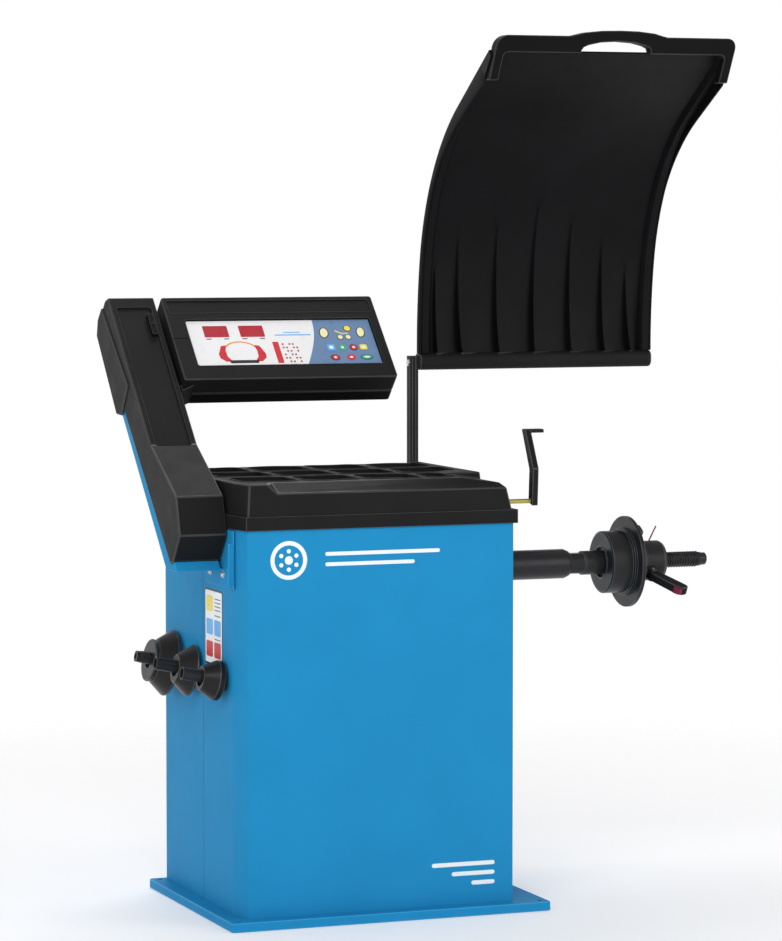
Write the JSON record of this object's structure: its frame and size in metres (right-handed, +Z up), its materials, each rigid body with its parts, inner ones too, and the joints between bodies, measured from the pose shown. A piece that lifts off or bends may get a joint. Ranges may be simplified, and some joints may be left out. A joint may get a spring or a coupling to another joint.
{
  "type": "wheel balancer",
  "caption": "Floor-standing wheel balancer: sheet-steel cabinet, leaning display post, balancing shaft with flange and quick nut, curved swing-down wheel hood, distance gauge and cones.",
  "frame": {"origin": "middle of the base plate and of its four anchor holes, on the floor", "axes": "+X along the balancing shaft towards its free end, +Y to the back, +Z up"},
  "size_m": [1.3615, 0.734, 1.912],
  "materials": {
    "cabinet_blue": "satin powder coat",
    "black_plastic": "fine moulded grain",
    "hood_plastic": "vacuum-formed black sheet",
    "black_steel": "black oxide, semi-matt",
    "black_paint": "black powder coat",
    "brass_rod": "drawn brass, satin",
    "bright_steel": "zinc plated",
    "inner_steel": "grey primer",
    "cast_block": "machined casting",
    "screen": "printed membrane under clear polyester",
    "red_led": "red tinted lens",
    "circuit_board": "solder mask",
    "red_paint": "red enamel",
    "belt_rubber": "ribbed belt",
    "bronze_bush": "sintered bronze",
    "cone_steel": "black phosphate, machined",
    "motor_grey": "cast housing"
  },
  "bodies": {
    "frame": {"base_plate": "cabinet_blue", "cabinet_front_shell": "cabinet_blue", "cabinet_rear_shell": "cabinet_blue", "top_deck": "inner_steel", "weight_tray": "black_plastic", "post_front_cover": "black_plastic", "post_column": "cabinet_blue", "post_bracket": "cabinet_blue", "post_bracket_bolts": "bright_steel", "post_rear_cover": "black_plastic", "display_housing": "black_plastic", "display_back_cover": "black_plastic", "display_membrane": "screen", "display_board": "circuit_board", "digit_modules": "red_led", "display_bracket": "inner_steel", "display_clip": "black_plastic", "spindle_housing": "black_steel", "spindle_bearings": "bright_steel", "housing_block": "cast_block", "pedestal": "inner_steel", "force_sensors": "bright_steel", "flexure_plates": "bright_steel", "motor_body": "motor_grey", "drive_belt": "belt_rubber", "encoder_sensor": "black_plastic", "hood_bracket": "cabinet_blue", "hood_bushes": "bronze_bush", "hood_stops": "bright_steel", "gauge_bracket": "inner_steel", "gauge_rail": "bright_steel", "storage_pegs": "black_steel", "mains_inlet": "black_plastic", "switch_frame": "black_plastic", "power_box": "inner_steel", "power_board": "circuit_board"},
    "spindle": {"main_shaft": "black_steel", "spindle_pulley": "motor_grey", "encoder_disc": "bright_steel", "wheel_flange": "black_steel", "threaded_shaft": "black_steel"},
    "motor_rotor": {"motor_shaft": "bright_steel", "motor_pulley": "bright_steel"},
    "clamp_cup": {"pressure_cup": "black_plastic"},
    "clamp_nut": {"quick_nut": "black_steel", "lever_pin": "bright_steel", "nut_rod": "red_paint"},
    "nut_handle": {"nut_lever": "black_plastic"},
    "hood": {"hood_shell": "hood_plastic", "hood_front_bar": "hood_plastic", "hood_lip": "hood_plastic", "hood_arm": "black_paint", "hood_pivot_shaft": "bright_steel"},
    "gauge_slider": {"gauge_carriage": "black_plastic"},
    "gauge_probe": {"gauge_rod": "brass_rod", "gauge_arm": "black_paint"},
    "large_cone": {"cone_large": "cone_steel"},
    "medium_cone": {"cone_medium": "cone_steel"},
    "small_cone": {"cone_small": "cone_steel"},
    "mains_rocker": {"switch_rocker": "red_led"}
  },
  "joints": [
    {"name": "hood_swing", "type": "hinge", "parent": "frame", "child": "hood", "pos_m": [0.3155, 0.409, 0.88], "axis": [1, 0, 0], "range_deg": [0, 60]},
    {"name": "spindle_spin", "type": "hinge", "parent": "frame", "child": "spindle", "pos_m": [0.4, 0, 0.725], "axis": [1, 0, 0], "continuous": true},
    {"name": "motor_spin", "type": "hinge", "parent": "frame", "child": "motor_rotor", "pos_m": [-0.095, 0, 0.48], "axis": [1, 0, 0], "continuous": true},
    {"name": "cup_slide", "type": "slide", "parent": "spindle", "child": "clamp_cup", "axis": [1, 0, 0], "range_m": [0, 0.2]},
    {"name": "nut_spin", "type": "hinge", "parent": "clamp_cup", "child": "clamp_nut", "pos_m": [0.728, 0, 0.725], "axis": [1, 0, 0], "continuous": true},
    {"name": "nut_lever_squeeze", "type": "hinge", "parent": "clamp_nut", "child": "nut_handle", "pos_m": [0.716, -0.04677, 0.698], "axis": [0, -0.5, 0.866], "range_deg": [0, 15], "stiffness_Nm_per_rad": 2, "springref_deg": -11.46},
    {"name": "gauge_pull", "type": "slide", "parent": "frame", "child": "gauge_slider", "axis": [1, 0, 0], "range_m": [0, 0.2], "stiffness_N_per_m": 20, "springref_m": -0.15},
    {"name": "gauge_swing", "type": "hinge", "parent": "gauge_slider", "child": "gauge_probe", "pos_m": [0.2, -0.213, 0.886], "axis": [1, 0, 0], "range_deg": [-15, 110]},
    {"name": "large_cone_slide", "type": "slide", "parent": "frame", "child": "large_cone", "axis": [-0.9816, 0, 0.1908], "range_m": [0, 0.1]},
    {"name": "medium_cone_slide", "type": "slide", "parent": "frame", "child": "medium_cone", "axis": [-0.9816, 0, 0.1908], "range_m": [0, 0.1]},
    {"name": "small_cone_slide", "type": "slide", "parent": "frame", "child": "small_cone", "axis": [-0.9816, 0, 0.1908], "range_m": [0, 0.1]},
    {"name": "mains_switch", "type": "hinge", "parent": "frame", "child": "mains_rocker", "pos_m": [-0.13, 0.27, 0.14], "axis": [-1, 0, 0], "range_deg": [0, 14]}
  ],
  "couplings": [
    {"joint": "motor_spin", "follows": "spindle_spin", "ratio": 3.2}
  ]
}
